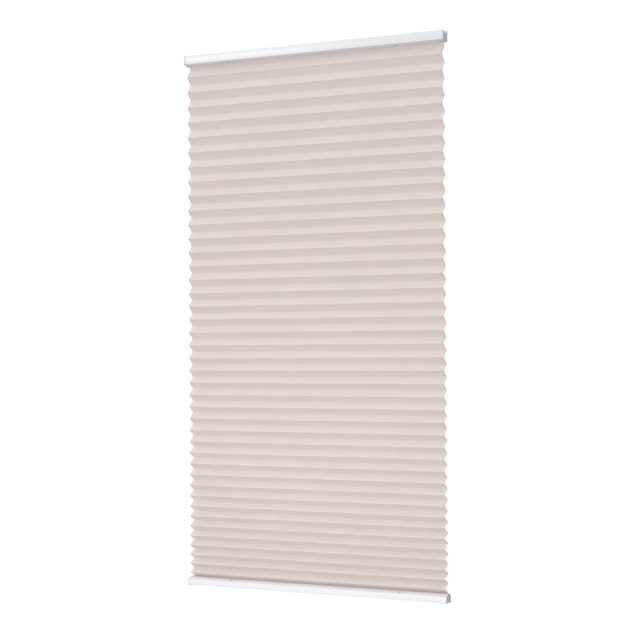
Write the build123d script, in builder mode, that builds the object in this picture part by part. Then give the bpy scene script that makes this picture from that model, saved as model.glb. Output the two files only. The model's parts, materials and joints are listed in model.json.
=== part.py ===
"""Pleated blind: two aluminium rails, their fittings and one pleated fabric sheet.

Frame: +X runs along the rails, the front faces -Y, +Z is up. The origin is the middle of the
top rail's open channel, in the plane of its upper edges. Everything hangs below that plane.
Units are millimetres.
"""
import os
from math import sqrt

from build123d import *

# Overall sizes
rail_length = 560.0
drop = 1081.0
rail_depth = 22.0

# Rail section: heights are measured from the edge of the open channel towards the fabric slot
wall = 1.2
face_bulge = 0.5
lip_reach = 3.4
corner_radius = 0.9
top_face_height = 17.5
top_slot_height = 20.5
top_channel_depth = 7.0
bottom_face_height = 12.4
bottom_slot_height = 16.4
bottom_channel_depth = 6.2

# Fabric slot, the same in both rails
slot_y = 3.0
slot_land = 7.0
slot_mouth = 1.6
pocket_width = 7.0
pocket_height = 2.6
pocket_wall = 1.0
strip_thickness = 1.8
strip_clearance = 0.2

# Pleated fabric
fabric_thickness = 0.3
fabric_side_clearance = 0.5
fabric_end_clearance = 0.3
pleat_count = 41
facet_length = 20.0
fold_centre_y = 0.9
pitch_top = 31.2
pitch_bottom = 17.8
pitch_bow = 3.5
top_lead = 6.4
bottom_lead = 9.9
bottom_rest = 1.0
slot_rise = 0.4

# End caps
cap_thickness = 4.0
cap_proud = 0.5
cap_edge_radius = 0.8
cap_plug_length = 8.0
cap_fit = 0.15
cap_notch_width = 11.0
top_notch_depth = 5.5
bottom_notch_depth = 2.0
foot_height = 1.2
foot_length = 10.0
foot_width = 2.8

# Cord fittings
eyelet_inset = 95.0
eyelet_y = -5.4
eyelet_flange_diameter = 4.2
eyelet_flange_thickness = 0.5
eyelet_barrel_diameter = 3.0
eyelet_barrel_length = 2.0
eyelet_hole_diameter = 1.8
eyelet_fit = 0.05
fitting_clearance = 0.25
guide_length = 16.0
guide_hole_diameter = 1.8
clamp_length = 14.0
clamp_screw_diameter = 2.0
spring_wire = 0.7
spring_diameter = 4.6
spring_pitch = 2.4
spring_length = 45.0
spigot_length = 5.0
spigot_clearance = 0.1
anchor_length = 10.0
spring_gap = 0.3

# Worked out from the sizes above
half_depth = rail_depth / 2
half_length = rail_length / 2
inner_half_depth = half_depth - wall
pocket_front = slot_y - pocket_width / 2 - pocket_wall
slope_run = slot_y - slot_land / 2 + half_depth
eyelet_x = half_length - eyelet_inset
fabric_width = rail_length - 2 * fabric_side_clearance
top_plane = Plane(origin=(0, 0, 0), x_dir=(0, 1, 0), z_dir=(-1, 0, 0))
bottom_plane = Plane(origin=(0, 0, -drop), x_dir=(0, 1, 0), z_dir=(1, 0, 0))
sides = {"left": -1, "right": 1}


class RailSizes:
    """The heights that differ between the two rails, and what follows from them."""

    def __init__(self, face_height, slot_height, channel_depth):
        self.face = face_height
        self.slot = slot_height
        self.channel = channel_depth
        self.chamber = channel_depth + wall
        self.shelf = slot_height - wall - pocket_height - pocket_wall
        self.rise = slot_height - face_height
        self.slope_length = sqrt(slope_run**2 + self.rise**2)
        self.skin = wall * self.slope_length / slope_run

    def slope_height(self, y):
        """Height of the outer sloping face at depth y, in front of the slot."""
        return self.face + self.rise * (y + half_depth) / slope_run

    def inner_height(self, y):
        """Height of the inner side of that sloping wall."""
        return self.slope_height(y) - self.skin


top_sizes = RailSizes(top_face_height, top_slot_height, top_channel_depth)
bottom_sizes = RailSizes(bottom_face_height, bottom_slot_height, bottom_channel_depth)


def outline(sizes, base, proud):
    """Outer outline of a rail as a closed line, grown by proud all round and by base at its edge."""
    with BuildLine() as line:
        front_edge = (-half_depth - proud, -base)
        front_corner = (-half_depth - proud, sizes.face + proud / 2)
        bulge = (-half_depth - proud - face_bulge, (sizes.face - base) / 2)
        ThreePointArc(front_edge, bulge, front_corner)
        Polyline(
            front_corner,
            (slot_y - slot_land / 2, sizes.slot + proud),
            (slot_y + slot_land / 2, sizes.slot + proud),
            (half_depth + proud, sizes.face + proud / 2),
            (half_depth + proud, -base),
            front_edge,
        )
    return line.line


def corner_vertices(sketch, sizes):
    """The two long outer corners between the faces and the slopes."""
    return [v for v in sketch.vertices() if abs(v.Y - sizes.face) < 1 and abs(v.X) > half_depth - 1]


def rail_profile(sizes):
    """Section of a rail: open channel, closed chamber and fabric slot."""
    with BuildSketch() as profile:
        with BuildLine():
            add(outline(sizes, 0, 0))
        make_face()
        fillet(corner_vertices(profile, sizes), corner_radius)
        with Locations((0, wall + (sizes.channel - wall) / 2)):
            Rectangle(2 * inner_half_depth, sizes.channel - wall, mode=Mode.SUBTRACT)
        with Locations((0, wall / 2)):
            Rectangle(2 * (half_depth - lip_reach), wall, mode=Mode.SUBTRACT)
        with BuildLine():
            Polyline(
                (-inner_half_depth, sizes.chamber),
                (inner_half_depth, sizes.chamber),
                (inner_half_depth, sizes.shelf),
                (pocket_front, sizes.shelf),
                (pocket_front, sizes.inner_height(pocket_front)),
                (-inner_half_depth, sizes.inner_height(-inner_half_depth)),
                close=True,
            )
        make_face(mode=Mode.SUBTRACT)
        with Locations((slot_y, sizes.slot - wall - pocket_height / 2)):
            Rectangle(pocket_width, pocket_height, mode=Mode.SUBTRACT)
        with Locations((slot_y, sizes.slot - wall / 2)):
            Rectangle(slot_mouth, wall, mode=Mode.SUBTRACT)
    return profile.sketch


def slope_plane(plane, sizes, x):
    """Plane on a rail's sloping face at the eyelet's place, its z pointing out of the rail."""
    seat = plane.from_local_coords(Vector(eyelet_y, sizes.slope_height(eyelet_y), 0))
    outward = plane.from_local_coords(Vector(-sizes.rise, slope_run, 0)) - plane.origin
    return Plane(origin=(x, seat.Y, seat.Z), x_dir=(1, 0, 0), z_dir=outward)


def make_rail(name, plane, sizes):
    """One aluminium rail with its two eyelet holes."""
    with BuildPart() as rail:
        with BuildSketch(plane):
            add(rail_profile(sizes))
        extrude(amount=half_length, both=True)
        for side in sides.values():
            with BuildSketch(slope_plane(plane, sizes, side * eyelet_x)):
                Circle(eyelet_barrel_diameter / 2 + eyelet_fit)
            extrude(amount=-2 * wall, mode=Mode.SUBTRACT)
    rail.part.label = name
    export_step(rail.part, f"parts/{name}.step")


def make_strip(name, plane, sizes):
    """Flat plastic strip that holds one end of the fabric inside a rail's slot pocket."""
    with BuildPart() as strip:
        with BuildSketch(plane):
            with Locations((slot_y, sizes.slot - wall - strip_thickness / 2)):
                Rectangle(pocket_width - 2 * strip_clearance, strip_thickness)
        extrude(amount=fabric_width / 2, both=True)
    strip.part.label = name
    export_step(strip.part, f"parts/{name}.step")


def make_cap(name, plane, sizes, side, base, notch_depth, with_feet):
    """End cap: a notched plate, a plug inside the rail's chamber and, below, two feet."""
    outward = side * plane.z_dir.X
    plate_plane = plane.offset(outward * half_length)
    with BuildPart() as cap:
        with BuildSketch(plate_plane) as plate:
            with BuildLine():
                add(outline(sizes, base, cap_proud))
            make_face()
            fillet(corner_vertices(plate, sizes), corner_radius)
            with Locations((0, (notch_depth - base) / 2)):
                Rectangle(cap_notch_width, notch_depth + base, mode=Mode.SUBTRACT)
        extrude(amount=outward * cap_thickness)
        end_face = cap.faces().sort_by(Axis.X)[-1 if side > 0 else 0]
        fillet(end_face.edges(), cap_edge_radius)
        with BuildSketch(plate_plane):
            with Locations((0, (sizes.chamber + sizes.shelf) / 2)):
                plug_height = sizes.shelf - sizes.chamber - 2 * cap_fit
                Rectangle(2 * (inner_half_depth - cap_fit), plug_height)
        extrude(amount=-outward * cap_plug_length)
        if with_feet:
            with BuildSketch(plate_plane):
                for y in (-half_depth + foot_width / 2, half_depth - foot_width / 2):
                    with Locations((y, -base / 2)):
                        Rectangle(foot_width, base)
            extrude(amount=-outward * foot_length)
    cap.part.label = name
    export_step(cap.part, f"parts/{name}.step")


def make_eyelet(name, plane, sizes, side):
    """Flanged bush that lines a cord hole, square to the rail's sloping face."""
    seat = slope_plane(plane, sizes, side * eyelet_x)
    with BuildPart() as eyelet:
        with BuildSketch(seat):
            Circle(eyelet_flange_diameter / 2)
        extrude(amount=eyelet_flange_thickness)
        rim = eyelet.edges().sort_by(Axis(seat.origin, seat.z_dir))[-1]
        fillet(rim, eyelet_flange_thickness / 2)
        with BuildSketch(seat):
            Circle(eyelet_barrel_diameter / 2)
        extrude(amount=-eyelet_barrel_length)
        with BuildSketch(seat.offset(eyelet_flange_thickness)):
            Circle(eyelet_hole_diameter / 2)
        extrude(amount=-eyelet_flange_thickness - eyelet_barrel_length, mode=Mode.SUBTRACT)
    eyelet.part.label = name
    export_step(eyelet.part, f"parts/{name}.step")


def fitting_span(sizes):
    """Lowest and highest height of a block that fits in the front of a rail's chamber."""
    return (
        sizes.chamber + fitting_clearance,
        sizes.inner_height(-inner_half_depth) - fitting_clearance,
    )


fitting_front = -inner_half_depth + fitting_clearance
fitting_back = pocket_front - fitting_clearance
fitting_y = (fitting_front + fitting_back) / 2


def fitting_block(sizes):
    """Section of such a block, on a rail's own section plane."""
    low, high = fitting_span(sizes)
    with BuildSketch() as block:
        with Locations((fitting_y, (low + high) / 2)):
            Rectangle(fitting_back - fitting_front, high - low)
        fillet(block.vertices(), corner_radius / 2)
    return block.sketch


def make_guide(name, side):
    """Block over a top eyelet that turns a cord from the vertical to along the rail."""
    low, high = fitting_span(top_sizes)
    middle = top_plane.from_local_coords(Vector(fitting_y, (low + high) / 2, 0))
    with BuildPart() as guide:
        with BuildSketch(top_plane.offset(-side * eyelet_x)):
            add(fitting_block(top_sizes))
        extrude(amount=guide_length / 2, both=True)
        with BuildSketch(Plane(origin=(side * eyelet_x, eyelet_y, -high), z_dir=(0, 0, 1))):
            Circle(guide_hole_diameter / 2)
        extrude(amount=(high - low) / 2, mode=Mode.SUBTRACT)
        with BuildSketch(Plane(origin=(side * eyelet_x, middle.Y, middle.Z), z_dir=(-side, 0, 0))):
            Circle(guide_hole_diameter / 2)
        extrude(amount=guide_length, mode=Mode.SUBTRACT)
        mouth = guide.edges().filter_by(GeomType.CIRCLE).group_by(Axis.Z)[0]
        chamfer(mouth, guide_hole_diameter / 4)
    guide.part.label = name
    export_step(guide.part, f"parts/{name}.step")


spring_start = eyelet_x - guide_length / 2 - spring_gap
spring_end = spring_start - spring_length
spring_radius = (spring_diameter - spring_wire) / 2


def make_spring(name, side):
    """Coil spring that keeps one cord tight, lying along the top rail's chamber."""
    low, high = fitting_span(top_sizes)
    middle = top_plane.from_local_coords(Vector(fitting_y, (low + high) / 2, 0))
    first = spring_end + spring_wire
    with BuildPart() as spring:
        with BuildLine() as coil:
            Helix(
                pitch=spring_pitch,
                height=spring_length - 2 * spring_wire,
                radius=spring_radius,
                center=(side * first, middle.Y, middle.Z),
                direction=(side, 0, 0),
            )
        with BuildSketch(Plane(origin=coil.line @ 0, z_dir=coil.line % 0)):
            Circle(spring_wire / 2)
        sweep(path=coil.line, is_frenet=True)
    spring.part.label = name
    export_step(spring.part, f"parts/{name}.step")


def make_anchor(name, side):
    """Block with a spigot that the inner end of a tension spring is pushed over."""
    low, high = fitting_span(top_sizes)
    middle = top_plane.from_local_coords(Vector(fitting_y, (low + high) / 2, 0))
    with BuildPart() as anchor:
        with BuildSketch(top_plane.offset(-side * spring_end)):
            add(fitting_block(top_sizes))
        extrude(amount=side * anchor_length)
        with BuildSketch(Plane(origin=(side * spring_end, middle.Y, middle.Z), z_dir=(side, 0, 0))):
            Circle(spring_radius - spring_wire / 2 - spigot_clearance)
        extrude(amount=spigot_length)
    anchor.part.label = name
    export_step(anchor.part, f"parts/{name}.step")


def make_clamp(name, side):
    """Block under a bottom eyelet that grips the end of a cord with a set screw."""
    low, high = fitting_span(bottom_sizes)
    middle = bottom_plane.from_local_coords(Vector(fitting_y, (low + high) / 2, 0))
    with BuildPart() as clamp:
        with BuildSketch(bottom_plane.offset(side * eyelet_x)):
            add(fitting_block(bottom_sizes))
        extrude(amount=clamp_length / 2, both=True)
        with BuildSketch(Plane(origin=(side * eyelet_x, eyelet_y, high - drop), z_dir=(0, 0, -1))):
            Circle(guide_hole_diameter / 2)
        extrude(amount=high - low, mode=Mode.SUBTRACT)
        with BuildSketch(Plane(origin=(side * eyelet_x, middle.Y, middle.Z), z_dir=(-side, 0, 0))):
            Circle(clamp_screw_diameter / 2)
        extrude(amount=clamp_length, mode=Mode.SUBTRACT)
    clamp.part.label = name
    export_step(clamp.part, f"parts/{name}.step")


def fold_points():
    """The fabric's middle line from the top strip to the bottom one, as (y, z) points."""
    top_land = -top_slot_height
    bottom_land = -drop + bottom_slot_height
    steps = [k / (pleat_count - 1) for k in range(pleat_count)]
    law = [pitch_top + (pitch_bottom - pitch_top) * t + pitch_bow * t * (1 - t) for t in steps]
    pleated_height = (top_land - top_lead) - (bottom_land + bottom_lead)
    scale = pleated_height / (sum(law) - law[-1] / 2)
    points = [(slot_y, top_land + wall), (slot_y, top_land)]
    z = top_land - top_lead
    for pitch in law:
        half_pitch = pitch * scale / 2
        reach = sqrt(facet_length**2 - half_pitch**2) / 2
        points.append((fold_centre_y + reach, z))
        points.append((fold_centre_y - reach, z - half_pitch))
        z -= 2 * half_pitch
    front_y = points[-1][0]
    rest_z = bottom_land + bottom_rest
    reach = sqrt(facet_length**2 - (bottom_lead - bottom_rest) ** 2)
    points.append((front_y + reach, rest_z))
    points.append((slot_y, bottom_land + slot_rise))
    points.append((slot_y, bottom_land - wall + fabric_end_clearance))
    return points


def mitred(points, distance):
    """The same line moved sideways by distance, with sharp corners."""
    vectors = [Vector(y, z) for y, z in points]
    runs = [(b - a).normalized() for a, b in zip(vectors, vectors[1:])]
    moved = []
    for i, point in enumerate(vectors):
        before = runs[max(i - 1, 0)]
        after = runs[min(i, len(runs) - 1)]
        normal = Vector(-before.Y - after.Y, before.X + after.X).normalized()
        cosine = normal.dot(Vector(-after.Y, after.X))
        moved.append(point + normal * (distance / cosine))
    return moved


def make_fabric():
    """One sheet, folded to and fro and hung between the two strips."""
    points = fold_points()
    left_side = mitred(points, fabric_thickness / 2)
    right_side = mitred(points, -fabric_thickness / 2)
    with BuildPart() as fabric:
        with BuildSketch(Plane.YZ):
            with BuildLine():
                Polyline(*left_side, *reversed(right_side), close=True)
            make_face()
        extrude(amount=fabric_width / 2, both=True)
    fabric.part.label = "pleated_fabric"
    export_step(fabric.part, "parts/pleated_fabric.step")
    flat_length = sum((Vector(*b) - Vector(*a)).length for a, b in zip(points, points[1:]))
    print("fabric cut size", round(fabric_width, 1), "x", round(flat_length, 1))


os.makedirs("parts", exist_ok=True)
make_rail("top_rail", top_plane, top_sizes)
make_rail("bottom_rail", bottom_plane, bottom_sizes)
make_strip("top_fabric_strip", top_plane, top_sizes)
make_strip("bottom_fabric_strip", bottom_plane, bottom_sizes)
for word, direction in sides.items():
    make_cap(f"top_end_cap_{word}", top_plane, top_sizes, direction, cap_proud, top_notch_depth, False)
    make_cap(
        f"bottom_end_cap_{word}",
        bottom_plane,
        bottom_sizes,
        direction,
        foot_height,
        bottom_notch_depth,
        True,
    )
    make_eyelet(f"top_cord_eyelet_{word}", top_plane, top_sizes, direction)
    make_eyelet(f"bottom_cord_eyelet_{word}", bottom_plane, bottom_sizes, direction)
    make_guide(f"cord_guide_{word}", direction)
    make_spring(f"tension_spring_{word}", direction)
    make_anchor(f"spring_anchor_{word}", direction)
    make_clamp(f"cord_clamp_{word}", direction)
make_fabric()
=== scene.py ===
import json
from math import pi, radians, sin

import bmesh
import bpy
from mathutils import Matrix, Vector, noise


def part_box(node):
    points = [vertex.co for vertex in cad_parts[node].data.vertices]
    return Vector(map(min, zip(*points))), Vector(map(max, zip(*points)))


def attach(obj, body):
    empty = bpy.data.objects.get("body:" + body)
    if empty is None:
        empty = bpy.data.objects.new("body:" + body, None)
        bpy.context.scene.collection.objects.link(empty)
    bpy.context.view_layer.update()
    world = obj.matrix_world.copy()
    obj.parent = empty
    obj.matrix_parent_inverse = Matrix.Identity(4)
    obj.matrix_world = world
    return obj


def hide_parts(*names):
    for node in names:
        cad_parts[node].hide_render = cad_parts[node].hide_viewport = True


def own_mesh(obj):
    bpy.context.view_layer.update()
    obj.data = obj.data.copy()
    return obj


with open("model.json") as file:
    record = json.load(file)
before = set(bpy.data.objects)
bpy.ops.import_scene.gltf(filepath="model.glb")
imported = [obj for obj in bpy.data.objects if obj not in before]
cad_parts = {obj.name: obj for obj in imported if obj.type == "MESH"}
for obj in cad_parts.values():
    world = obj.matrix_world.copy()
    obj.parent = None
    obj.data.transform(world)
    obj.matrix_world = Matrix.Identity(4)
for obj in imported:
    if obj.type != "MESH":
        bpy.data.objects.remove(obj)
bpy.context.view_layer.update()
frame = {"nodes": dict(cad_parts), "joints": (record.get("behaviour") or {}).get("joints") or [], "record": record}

bl_info = {
    "name": "Pleated Blind",
    "version": (1, 0, 0),
    "blender": (4, 5, 0),
    "location": "3D View > Sidebar > Blind",
    "description": "Hangs a pleated fabric between two finished rails and lights it in a studio",
    "category": "Object",
}

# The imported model's own box, and the places that everything else is worked out from
TOP_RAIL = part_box("top_rail")
BOTTOM_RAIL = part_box("bottom_rail")
TOP_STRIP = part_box("top_fabric_strip")
BOTTOM_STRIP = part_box("bottom_fabric_strip")
LIFT = next(j for j in frame["joints"] if j["name"] == "bottom_rail_lift")
SIDES = ("left", "right")
MILLIMETRE = 0.001


# Settings that a user would change


class BlindFabricSettings(bpy.types.PropertyGroup):
    """Sizes of the pleated fabric."""

    pleats: bpy.props.IntProperty(name="Pleats", description="Full pleats in the drop", default=41, min=2)
    facet: bpy.props.FloatProperty(
        name="Facet", description="Fabric between two folds", default=0.020, unit="LENGTH"
    )
    pitch_top: bpy.props.FloatProperty(
        name="Pitch at top", description="Height of the top pleat", default=0.0312, unit="LENGTH"
    )
    pitch_bottom: bpy.props.FloatProperty(
        name="Pitch at bottom", description="Height of the lowest pleat", default=0.0178, unit="LENGTH"
    )
    pitch_bow: bpy.props.FloatProperty(
        name="Pitch bow",
        description="How far the pitch stands above a straight fall from top to bottom",
        default=0.0035,
        unit="LENGTH",
    )
    fold_centre: bpy.props.FloatProperty(
        name="Fold centre", description="Middle of the pleats, front to back", default=0.0009, unit="LENGTH"
    )
    top_lead: bpy.props.FloatProperty(
        name="Top lead",
        description="Height from the upper slot to the first fold",
        default=0.0064,
        unit="LENGTH",
    )
    bottom_lead: bpy.props.FloatProperty(
        name="Bottom lead",
        description="Height from the last front fold to the lower slot",
        default=0.0099,
        unit="LENGTH",
    )
    bottom_rest: bpy.props.FloatProperty(
        name="Bottom rest",
        description="Height of the lowest back fold over the lower slot",
        default=0.001,
        unit="LENGTH",
    )
    slot_rise: bpy.props.FloatProperty(
        name="Slot rise",
        description="How far the cloth stands out of the lower slot before it bends",
        default=0.0004,
        unit="LENGTH",
    )
    thickness: bpy.props.FloatProperty(
        name="Thickness", description="Thickness of the cloth", default=0.0003, unit="LENGTH"
    )
    crease: bpy.props.FloatProperty(
        name="Crease", description="Cloth taken up by half of a fold's bend", default=0.0006, unit="LENGTH"
    )
    facet_bow: bpy.props.FloatProperty(
        name="Facet bow", description="How far a facet bows between its folds", default=0.00012, unit="LENGTH"
    )
    unevenness: bpy.props.FloatProperty(
        name="Unevenness", description="How far folds stray from even spacing", default=0.00018, unit="LENGTH"
    )
    columns: bpy.props.IntProperty(
        name="Columns", description="Mesh columns along the rails", default=48, min=2
    )
    raised_room: bpy.props.FloatProperty(
        name="Raised room",
        description="Room between the gathered cloth and the raised rail",
        default=0.00035,
        unit="LENGTH",
    )


class BlindFinishSettings(bpy.types.PropertyGroup):
    """Colours of the finishes."""

    rail: bpy.props.FloatVectorProperty(
        name="Rails", description="Powder coat", default=(0.825, 0.84, 0.865), subtype="COLOR"
    )
    cap: bpy.props.FloatVectorProperty(
        name="End caps", description="Moulded end caps", default=(0.80, 0.825, 0.86), subtype="COLOR"
    )
    eyelet: bpy.props.FloatVectorProperty(
        name="Eyelets", description="Cord eyelets", default=(0.40, 0.41, 0.43), subtype="COLOR"
    )
    fitting: bpy.props.FloatVectorProperty(
        name="Fittings", description="Guides, anchors and clamps", default=(0.62, 0.63, 0.65), subtype="COLOR"
    )
    strip: bpy.props.FloatVectorProperty(
        name="Strips", description="Strips that hold the fabric", default=(0.78, 0.78, 0.76), subtype="COLOR"
    )
    steel: bpy.props.FloatVectorProperty(
        name="Springs", description="Spring wire", default=(0.62, 0.62, 0.64), subtype="COLOR"
    )
    cloth: bpy.props.FloatVectorProperty(
        name="Cloth", description="Face of the pleated cloth", default=(0.915, 0.903, 0.866), subtype="COLOR"
    )
    cloth_through: bpy.props.FloatVectorProperty(
        name="Cloth against light",
        description="Light that comes through the cloth",
        default=(0.94, 0.825, 0.81),
        subtype="COLOR",
    )
    cloth_edge: bpy.props.FloatVectorProperty(
        name="Cloth edge", description="Cut edge of the cloth", default=(0.60, 0.46, 0.38), subtype="COLOR"
    )


class BlindStudioSettings(bpy.types.PropertyGroup):
    """Camera, floor and light."""

    floor_depth: bpy.props.FloatProperty(
        name="Floor depth", description="Floor below the top rail", default=2.2, unit="LENGTH"
    )
    camera_place: bpy.props.FloatVectorProperty(
        name="Camera place",
        description="Where the camera stands",
        default=(1.3613, -2.7355, -0.5893),
        unit="LENGTH",
    )
    camera_turn: bpy.props.FloatProperty(
        name="Camera turn",
        description="Turn to the left of straight ahead",
        default=radians(26.19),
        unit="ROTATION",
    )
    camera_tip: bpy.props.FloatProperty(
        name="Camera tip", description="Tip above level", default=radians(-0.42), unit="ROTATION"
    )
    camera_roll: bpy.props.FloatProperty(
        name="Camera roll", description="Roll about the line of sight", default=radians(0.40), unit="ROTATION"
    )
    lens: bpy.props.FloatProperty(
        name="Lens", description="Focal length", default=87.23, subtype="DISTANCE_CAMERA"
    )
    shift: bpy.props.FloatProperty(name="Shift", description="Upward shift of the lens", default=0.055)


# Shader maths


class Wire:
    """A shader socket that takes part in Python arithmetic; each operation adds its Math node."""

    def __init__(self, finish, socket):
        self.finish = finish
        self.socket = socket

    def math(self, operation, *values):
        inputs = dict(enumerate(values))
        return self.finish.node("ShaderNodeMath", {"operation": operation}, inputs)

    def __add__(self, other):
        return self.math("ADD", self, other)

    def __radd__(self, other):
        return self.math("ADD", other, self)

    def __sub__(self, other):
        return self.math("SUBTRACT", self, other)

    def __rsub__(self, other):
        return self.math("SUBTRACT", other, self)

    def __mul__(self, other):
        return self.math("MULTIPLY", self, other)

    def __rmul__(self, other):
        return self.math("MULTIPLY", other, self)

    def __truediv__(self, other):
        return self.math("DIVIDE", self, other)

    def __gt__(self, other):
        return self.math("GREATER_THAN", self, other)

    def sine(self):
        return self.math("SINE", self)

    def absolute(self):
        return self.math("ABSOLUTE", self)

    def clamped(self):
        return self.finish.node("ShaderNodeClamp", {}, {"Value": self})


class Finish:
    """A node tree being put together. node() adds any node and hands back one output as a Wire."""

    def __init__(self, tree):
        self.tree = tree
        self.tree.nodes.clear()

    def node(self, kind, settings, inputs, output=0):
        made = self.tree.nodes.new(kind)
        for key, value in settings.items():
            setattr(made, key, value)
        for key, value in inputs.items():
            if isinstance(value, Wire):
                self.tree.links.new(value.socket, made.inputs[key])
            else:
                made.inputs[key].default_value = value
        return Wire(self, made.outputs[output]) if made.outputs else None

    def place(self):
        """Position on the piece, in metres."""
        return self.node("ShaderNodeTexCoord", {}, {}, "Object")

    def grain(self, place, scale, detail=2.0, roughness=0.5):
        """Cloudy noise with about scale blotches in a metre."""
        return self.node(
            "ShaderNodeTexNoise",
            {"noise_dimensions": "3D"},
            {"Vector": place, "Scale": scale, "Detail": detail, "Roughness": roughness},
            "Fac",
        )

    def stretched(self, place, stretch):
        return self.node("ShaderNodeMapping", {}, {"Vector": place, "Scale": stretch})

    def blend_colours(self, share, first, second):
        return self.node(
            "ShaderNodeMix",
            {"data_type": "RGBA", "blend_type": "MIX"},
            {"Factor": share, 6: first, 7: second},
            2,
        )

    def bumped(self, height, depth):
        """Normal for a surface whose relief is height (0 to 1) times depth metres."""
        return self.node("ShaderNodeBump", {}, {"Height": height, "Distance": depth, "Strength": 1.0})


def rgba(colour, share=1.0):
    """A colour, darkened to a share of itself, with full alpha."""
    return (*(channel * share for channel in colour), 1.0)


def new_finish(name):
    material = bpy.data.materials.new(name)
    material.use_nodes = True
    return material, Finish(material.node_tree)


def close_finish(finish, surface):
    finish.node("ShaderNodeOutputMaterial", {}, {"Surface": surface})


def powder_coat(colour):
    """Satin powder coat: a fine orange-peel relief, and gloss that drifts slightly along the rail."""
    material, finish = new_finish("powder_coat")
    place = finish.place()
    peel = finish.grain(place, 900.0, 3.0)
    drift = finish.grain(finish.stretched(place, (4.0, 60.0, 60.0)), 1.0)
    tone = finish.blend_colours(drift, rgba(colour, 0.985), rgba(colour))
    surface = finish.node(
        "ShaderNodeBsdfPrincipled",
        {},
        {
            "Base Color": tone,
            "Roughness": 0.20 + 0.06 * drift,
            "Normal": finish.bumped(peel, 0.03 * MILLIMETRE),
            "Coat Weight": 0.15,
            "Coat Roughness": 0.2,
        },
    )
    close_finish(finish, surface)
    return material


def moulded_plastic(name, colour, roughness, grain_depth):
    """Moulded plastic with a fine spark-eroded grain."""
    material, finish = new_finish(name)
    place = finish.place()
    grain = finish.grain(place, 2600.0, 2.0)
    cloud = finish.grain(place, 140.0, 2.0)
    tone = finish.blend_colours(cloud, rgba(colour, 0.96), rgba(colour))
    surface = finish.node(
        "ShaderNodeBsdfPrincipled",
        {},
        {
            "Base Color": tone,
            "Roughness": roughness + 0.1 * cloud,
            "Normal": finish.bumped(grain, grain_depth),
        },
    )
    close_finish(finish, surface)
    return material


def spring_steel(colour):
    """Drawn wire: bright, with faint draw marks along the wire's run."""
    material, finish = new_finish("spring_steel")
    marks = finish.grain(finish.stretched(finish.place(), (300.0, 4000.0, 4000.0)), 1.0, 3.0)
    surface = finish.node(
        "ShaderNodeBsdfPrincipled",
        {},
        {
            "Base Color": rgba(colour),
            "Metallic": 1.0,
            "Roughness": 0.22 + 0.2 * marks,
            "Normal": finish.bumped(marks, 0.01 * MILLIMETRE),
        },
    )
    close_finish(finish, surface)
    return material


# The cloth. THROUGH_SHARE is the share of light that passes through it, EDGE_SHARE how strongly its cut
# edge shows.
THREAD_PITCH = 0.45 * MILLIMETRE
CLOTH_RELIEF = 0.05 * MILLIMETRE
EDGE_WIDTH = 1.2 * MILLIMETRE
EDGE_SHARE = 0.55
THROUGH_SHARE = 0.41
SLUB_LONG, SLUB_FINE = 12.0, 900.0
SHADE_SCALE = 5.0


def pleated_cloth(colour, through_colour, edge_colour, width):
    """Crisp plain-woven polyester that lets a little light through; its UVs are metres on the flat cloth."""
    material, finish = new_finish("pleated_cloth")
    flat = finish.node("ShaderNodeUVMap", {"uv_map": "flat"}, {})
    across = finish.node("ShaderNodeSeparateXYZ", {}, {"Vector": flat}, "X")
    along = finish.node("ShaderNodeSeparateXYZ", {}, {"Vector": flat}, "Y")
    turn = 2 * pi / THREAD_PITCH
    warp = (across * turn).sine().absolute()
    weft = (along * turn).sine().absolute()
    crossing = (across * turn).sine() * (along * turn).sine() > 0.0
    weave = crossing * warp + (1.0 - crossing) * weft
    weft_slub = finish.grain(finish.stretched(flat, (SLUB_LONG, SLUB_FINE, 1.0)), 1.0, 3.0)
    warp_slub = finish.grain(finish.stretched(flat, (SLUB_FINE, SLUB_LONG, 1.0)), 1.0, 3.0)
    shade = finish.grain(finish.stretched(flat, (SHADE_SCALE, SHADE_SCALE, 1.0)), 1.0)
    tone = (0.5 * weft_slub + 0.3 * warp_slub + 0.2 * shade).clamped()
    cloth = finish.blend_colours(tone, rgba(colour, 0.975), rgba(colour, 1.01))
    from_edge = width / 2 - across.absolute()
    edge = (1.0 - from_edge / EDGE_WIDTH).clamped()
    cloth = finish.blend_colours(edge * EDGE_SHARE, cloth, rgba(edge_colour))
    relief = weave * (0.7 + 0.3 * weft_slub)
    normal = finish.bumped(relief, CLOTH_RELIEF)
    face = finish.node(
        "ShaderNodeBsdfPrincipled",
        {},
        {
            "Base Color": cloth,
            "Roughness": 0.82 + 0.1 * tone,
            "Normal": normal,
            "Specular IOR Level": 0.25,
            "Sheen Weight": 0.08,
            "Sheen Roughness": 0.5,
        },
    )
    through = finish.node("ShaderNodeBsdfTranslucent", {}, {"Color": rgba(through_colour)})
    surface = finish.node("ShaderNodeMixShader", {}, {0: THROUGH_SHARE, 1: face, 2: through})
    close_finish(finish, surface)
    return material


# The fabric's shape. Drift is how unevenly the folds fall and sway how far they stand out. Both are noise,
# with waves a metre along the rails, front to back and up.
STRIP_GAP = 0.3 * MILLIMETRE
DRIFT_WAVES = (2.5, 30.0, 38.0)
SWAY_WAVES = (6.0, 30.0, 24.0)
SWAY_START = 7.0
DRIFT_SHARE = 1.6


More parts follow.
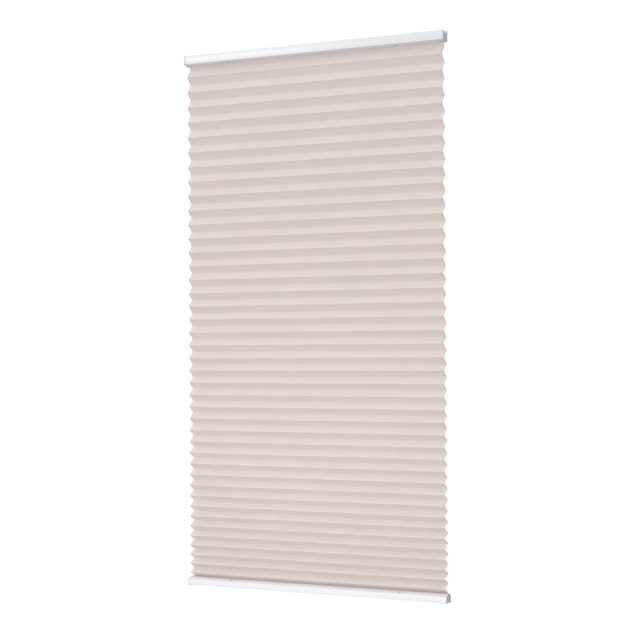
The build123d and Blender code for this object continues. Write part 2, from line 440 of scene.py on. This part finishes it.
def fold_line(settings):
    """The cloth's middle line, front to back and up, as Vectors from the upper strip to the lower one."""
    slot_y = (TOP_STRIP[0].y + TOP_STRIP[1].y) / 2
    top_land = TOP_RAIL[0].z
    bottom_land = BOTTOM_RAIL[1].z
    last = settings.pleats - 1
    law = []
    for pleat in range(settings.pleats):
        down = pleat / last
        straight = settings.pitch_top + (settings.pitch_bottom - settings.pitch_top) * down
        law.append(straight + settings.pitch_bow * down * (1 - down))
    height = (top_land - settings.top_lead) - (bottom_land + settings.bottom_lead)
    scale = height / (sum(law) - law[-1] / 2)
    line = [Vector((0, slot_y, TOP_STRIP[0].z)), Vector((0, slot_y, top_land))]
    z = top_land - settings.top_lead
    for pitch in law:
        half_pitch = pitch * scale / 2
        reach = (settings.facet**2 - half_pitch**2) ** 0.5 / 2
        line.append(Vector((0, settings.fold_centre + reach, z)))
        line.append(Vector((0, settings.fold_centre - reach, z - half_pitch)))
        z -= 2 * half_pitch
    rest_z = bottom_land + settings.bottom_rest
    reach = (settings.facet**2 - (settings.bottom_lead - settings.bottom_rest) ** 2) ** 0.5
    line.append(Vector((0, line[-1].y + reach, rest_z)))
    line.append(Vector((0, slot_y, bottom_land + settings.slot_rise)))
    line.append(Vector((0, slot_y, BOTTOM_STRIP[1].z + STRIP_GAP)))
    return line


class FoldedPath:
    """The fold line with each corner rounded, read by the distance along the cloth."""

    def __init__(self, line, crease, bow):
        self.line = line
        self.crease = crease
        self.bow = bow
        self.marks = [0.0]
        for start, end in zip(line, line[1:]):
            self.marks.append(self.marks[-1] + (end - start).length)
        self.length = self.marks[-1]

    def corner_reach(self, corner):
        """Cloth that the bend at a corner takes up on each side of it."""
        before = self.marks[corner] - self.marks[corner - 1]
        after = self.marks[corner + 1] - self.marks[corner]
        return min(self.crease, before / 2, after / 2)

    def rows(self):
        """Distances along the cloth where the mesh has a row: five in each bend, two more on a facet."""
        stops = [0.0]
        for corner in range(1, len(self.line) - 1):
            reach = self.corner_reach(corner)
            mark = self.marks[corner]
            start = stops[-1]
            span = mark - reach - start
            stops += [start + span / 3, start + 2 * span / 3]
            stops += [mark - reach, mark - reach / 2, mark, mark + reach / 2, mark + reach]
        span = self.length - stops[-1]
        stops += [stops[-1] + span / 2, self.length]
        return stops

    def point(self, distance):
        """Place of the cloth at a distance along it: on a bend if one is near, or else on a facet."""
        for corner in range(1, len(self.line) - 1):
            reach = self.corner_reach(corner)
            if abs(distance - self.marks[corner]) <= reach:
                fold = self.line[corner]
                start = fold + (self.line[corner - 1] - fold).normalized() * reach
                end = fold + (self.line[corner + 1] - fold).normalized() * reach
                t = (distance - self.marks[corner] + reach) / (2 * reach)
                return start * (1 - t) ** 2 + fold * 2 * t * (1 - t) + end * t**2
        index = max(i for i, mark in enumerate(self.marks[:-1]) if mark <= distance)
        start, end = self.line[index], self.line[index + 1]
        share = (distance - self.marks[index]) / (end - start).length
        run = (end - start).normalized()
        outward = Vector((0, -abs(run.z), run.y * (1 if run.z < 0 else -1)))
        return start.lerp(end, share) + outward * (self.bow * sin(pi * share))


def hang_fabric(settings, width):
    """Folds a flat grid of cloth into the pleats and returns its mesh and cut length."""
    path = FoldedPath(fold_line(settings), settings.crease, settings.facet_bow)
    rows = path.rows()
    last_row = len(rows) - 1
    folded = bmesh.new()
    bmesh.ops.create_grid(folded, x_segments=settings.columns, y_segments=last_row, size=0.5)
    uv_layer = folded.loops.layers.uv.new("flat")
    flat_place = {}
    top, bottom = path.point(0.0).z, path.point(path.length).z
    for vertex in folded.verts:
        across = vertex.co.x * width
        distance = rows[round((0.5 - vertex.co.y) * last_row)]
        flat_place[vertex] = (across, -distance)
        place = path.point(distance)
        held = sin(pi * (top - place.z) / (top - bottom))
        spot = Vector((across, place.y, place.z))
        drift = noise.noise(spot * Vector(DRIFT_WAVES))
        sway = noise.noise(spot * Vector(SWAY_WAVES) + Vector((0, SWAY_START, 0)))
        vertex.co = Vector(
            (
                across,
                place.y + settings.unevenness * sway * held,
                place.z + settings.unevenness * DRIFT_SHARE * drift * held,
            )
        )
    for face in folded.faces:
        face.smooth = False
        for loop in face.loops:
            loop[uv_layer].uv = flat_place[loop.vert]
    mesh = bpy.data.meshes.new("hung_fabric")
    bmesh.ops.recalc_face_normals(folded, faces=folded.faces)
    folded.to_mesh(mesh)
    folded.free()
    return mesh, path.length


def dress_nodes(names, material):
    """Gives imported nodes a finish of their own."""
    for name in names:
        node = frame["nodes"][name]
        node.data.materials.clear()
        node.data.materials.append(material)


# Operators, one for each piece or group of like pieces and one for the studio


class BLIND_OT_fabric(bpy.types.Operator):
    """Hang the pleated fabric between the rails"""

    bl_idname = "blind.fabric"
    bl_label = "Hang Fabric"

    def execute(self, context):
        settings = context.scene.blind_fabric
        colours = context.scene.blind_finish
        low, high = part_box("pleated_fabric")
        width = high.x - low.x
        mesh, cut_length = hang_fabric(settings, width)
        fabric = bpy.data.objects.new("hung_fabric", mesh)
        context.scene.collection.objects.link(fabric)
        finish = pleated_cloth(colours.cloth, colours.cloth_through, colours.cloth_edge, width)
        mesh.materials.append(finish)
        bodies = frame["record"]["behaviour"]["bodies"]
        body = next(name for name, nodes in bodies.items() if "pleated_fabric" in nodes)
        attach(fabric, body)
        # Gathered, the cloth would have to end above the raised rail and not inside it; the share for that is
        # worked out here but not used
        raised = BOTTOM_RAIL[1].z + max(LIFT["range_m"]) + settings.raised_room
        lowest = min(vertex.co.z for vertex in mesh.vertices)
        (TOP_RAIL[0].z - raised) / (TOP_RAIL[0].z - lowest)
        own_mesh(fabric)
        cloth = fabric.modifiers.new("cloth thickness", "SOLIDIFY")
        cloth.thickness = settings.thickness
        cloth.offset = 0.0
        cloth.use_rim = True
        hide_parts("pleated_fabric")
        return {"FINISHED"}


class BLIND_OT_rails(bpy.types.Operator):
    """Powder coat the two rails"""

    bl_idname = "blind.rails"
    bl_label = "Finish Rails"

    def execute(self, context):
        coat = powder_coat(context.scene.blind_finish.rail)
        dress_nodes(("top_rail", "bottom_rail"), coat)
        return {"FINISHED"}


class BLIND_OT_end_caps(bpy.types.Operator):
    """Finish the four end caps"""

    bl_idname = "blind.end_caps"
    bl_label = "Finish End Caps"

    def execute(self, context):
        colour = context.scene.blind_finish.cap
        plastic = moulded_plastic("cap_plastic", colour, 0.42, 0.02 * MILLIMETRE)
        names = [f"{rail}_end_cap_{side}" for rail in ("top", "bottom") for side in SIDES]
        dress_nodes(names, plastic)
        return {"FINISHED"}


class BLIND_OT_eyelets(bpy.types.Operator):
    """Finish the four cord eyelets"""

    bl_idname = "blind.eyelets"
    bl_label = "Finish Eyelets"

    def execute(self, context):
        colour = context.scene.blind_finish.eyelet
        plastic = moulded_plastic("eyelet_plastic", colour, 0.35, 0.01 * MILLIMETRE)
        names = [f"{rail}_cord_eyelet_{side}" for rail in ("top", "bottom") for side in SIDES]
        dress_nodes(names, plastic)
        return {"FINISHED"}


class BLIND_OT_fittings(bpy.types.Operator):
    """Finish the strips, guides, anchors and clamps inside the rails"""

    bl_idname = "blind.fittings"
    bl_label = "Finish Fittings"

    def execute(self, context):
        colours = context.scene.blind_finish
        block = moulded_plastic("fitting_plastic", colours.fitting, 0.5, 0.03 * MILLIMETRE)
        kinds = ("cord_guide", "spring_anchor", "cord_clamp")
        dress_nodes([f"{kind}_{side}" for kind in kinds for side in SIDES], block)
        strip = moulded_plastic("strip_plastic", colours.strip, 0.3, 0.01 * MILLIMETRE)
        dress_nodes(("top_fabric_strip", "bottom_fabric_strip"), strip)
        return {"FINISHED"}


class BLIND_OT_springs(bpy.types.Operator):
    """Finish the two tension springs"""

    bl_idname = "blind.springs"
    bl_label = "Finish Springs"

    def execute(self, context):
        steel = spring_steel(context.scene.blind_finish.steel)
        dress_nodes([f"tension_spring_{side}" for side in SIDES], steel)
        return {"FINISHED"}


# The studio. WORLD_PULL is how much brighter the surroundings get along X, Y and Z.
WHITE = (1.0, 1.0, 1.0)
FLOOR_SIZE = 60.0
FLOOR_GLOW = 0.15
BACKDROP_LEVEL = 1.05
WORLD_LEVEL = 0.68
WORLD_PULL = (-0.28, -0.36, 0.34)
SKY_TINT = (0.975, 1.0, 0.985, 1.0)
GROUND_TINT = (0.995, 0.95, 0.99, 1.0)
BACK_TINT = (0.82, 1.0, 1.0)
SENSOR_WIDTH = 36.0
# Each softbox: name, place, target, width and height, beam in degrees, power in watts, tint
SOFTBOXES = (
    ("left_softbox", (-1.65, -2.6, 0.55), (-0.14, 0.0, 0.0), (0.8, 0.35), 180.0, 6.6, WHITE),
    ("low_softbox", (0.1, -1.4, -1.18), (0.0, 0.0, -1.03), (0.8, 0.5), 75.0, 0.65, WHITE),
    ("back_softbox", (0.0, 1.4, -0.98), (0.0, 0.0, -1.07), (0.8, 0.4), 60.0, 0.75, BACK_TINT),
)


def add_floor(context, depth):
    """A plain pale floor, far below the blind."""
    plan = bmesh.new()
    bmesh.ops.create_grid(plan, x_segments=1, y_segments=1, size=FLOOR_SIZE / 2)
    bmesh.ops.translate(plan, verts=plan.verts, vec=(0, 0, -depth))
    mesh = bpy.data.meshes.new("studio_floor")
    plan.to_mesh(mesh)
    plan.free()
    floor = bpy.data.objects.new("studio_floor", mesh)
    context.scene.collection.objects.link(floor)
    material, finish = new_finish("studio_floor")
    cloud = finish.grain(finish.place(), 0.6)
    surface = finish.node(
        "ShaderNodeBsdfPrincipled",
        {},
        {
            "Base Color": rgba(WHITE, 0.99),
            "Roughness": 0.85 + 0.1 * cloud,
            "Specular IOR Level": 0.0,
            "Emission Color": rgba(WHITE),
            "Emission Strength": FLOOR_GLOW,
        },
    )
    close_finish(finish, surface)
    mesh.materials.append(material)
    floor.visible_diffuse = False
    floor.visible_glossy = False


def add_world(context):
    """White surroundings that light the blind mostly from above, the left and the front."""
    world = bpy.data.worlds.new("studio")
    world.use_nodes = True
    context.scene.world = world
    finish = Finish(world.node_tree)
    towards = finish.node("ShaderNodeTexCoord", {}, {}, "Generated")
    level = WORLD_LEVEL
    for axis, pull in zip("XYZ", WORLD_PULL):
        along = finish.node("ShaderNodeSeparateXYZ", {}, {"Vector": towards}, axis)
        level = level + pull * along
    tint = finish.blend_colours((0.5 + 0.5 * along).clamped(), GROUND_TINT, SKY_TINT)
    seen = finish.node("ShaderNodeLightPath", {}, {}, "Is Camera Ray")
    tint = finish.blend_colours(seen, tint, rgba(WHITE))
    strength = seen * BACKDROP_LEVEL + (1.0 - seen) * level
    background = finish.node("ShaderNodeBackground", {}, {"Color": tint, "Strength": strength})
    finish.node("ShaderNodeOutputWorld", {}, {"Surface": background})


def add_softbox(context, name, place, target, size, spread, power, tint):
    """A soft light, size wide and high, aimed at a point; spread is its beam in degrees."""
    light = bpy.data.lights.new(name, "AREA")
    light.shape = "RECTANGLE"
    light.size, light.size_y = size
    light.spread = radians(spread)
    light.energy = power
    light.color = tint
    softbox = bpy.data.objects.new(name, light)
    context.scene.collection.objects.link(softbox)
    softbox.location = place
    softbox.visible_camera = False
    softbox.rotation_mode = "QUATERNION"
    softbox.rotation_quaternion = (Vector(target) - Vector(place)).to_track_quat("-Z", "Y")


def add_camera(context, settings):
    camera = bpy.data.objects.new("camera", bpy.data.cameras.new("camera"))
    context.scene.collection.objects.link(camera)
    camera.data.sensor_width = SENSOR_WIDTH
    camera.data.lens = settings.lens
    camera.data.shift_y = settings.shift
    camera.matrix_world = (
        Matrix.Translation(settings.camera_place)
        @ Matrix.Rotation(settings.camera_turn, 4, "Z")
        @ Matrix.Rotation(settings.camera_tip, 4, "X")
        @ Matrix.Rotation(settings.camera_roll, 4, "Y")
        @ Matrix.Rotation(pi / 2, 4, "X")
    )
    context.scene.camera = camera


class BLIND_OT_studio(bpy.types.Operator):
    """Set up the floor, the light and the camera"""

    bl_idname = "blind.studio"
    bl_label = "Set Up Studio"

    def execute(self, context):
        settings = context.scene.blind_studio
        context.scene.view_settings.view_transform = "Standard"
        add_floor(context, settings.floor_depth)
        add_world(context)
        for softbox in SOFTBOXES:
            add_softbox(context, *softbox)
        add_camera(context, settings)
        return {"FINISHED"}


class BLIND_PT_panel(bpy.types.Panel):
    """Everything that makes the blind"""

    bl_idname = "BLIND_PT_panel"
    bl_label = "Pleated Blind"
    bl_space_type = "VIEW_3D"
    bl_region_type = "UI"
    bl_category = "Blind"

    def draw(self, context):
        for operator in OPERATORS:
            self.layout.operator(operator.bl_idname)
        for group in (context.scene.blind_fabric, context.scene.blind_finish, context.scene.blind_studio):
            box = self.layout.box()
            for name in group.__annotations__:
                box.prop(group, name)


OPERATORS = (
    BLIND_OT_studio,
    BLIND_OT_fabric,
    BLIND_OT_rails,
    BLIND_OT_end_caps,
    BLIND_OT_eyelets,
    BLIND_OT_fittings,
    BLIND_OT_springs,
)
SETTINGS = {
    "blind_fabric": BlindFabricSettings,
    "blind_finish": BlindFinishSettings,
    "blind_studio": BlindStudioSettings,
}


def register():
    for kind in (*SETTINGS.values(), *OPERATORS, BLIND_PT_panel):
        bpy.utils.register_class(kind)
    for name, kind in SETTINGS.items():
        setattr(bpy.types.Scene, name, bpy.props.PointerProperty(type=kind))


def unregister():
    for name in SETTINGS:
        delattr(bpy.types.Scene, name)
    for kind in reversed((*SETTINGS.values(), *OPERATORS, BLIND_PT_panel)):
        bpy.utils.unregister_class(kind)


def main():
    register()
    bpy.ops.blind.studio()
    bpy.ops.blind.fabric()
    bpy.ops.blind.rails()
    bpy.ops.blind.end_caps()
    bpy.ops.blind.eyelets()
    bpy.ops.blind.fittings()
    bpy.ops.blind.springs()


if __name__ == "__main__":
    main()
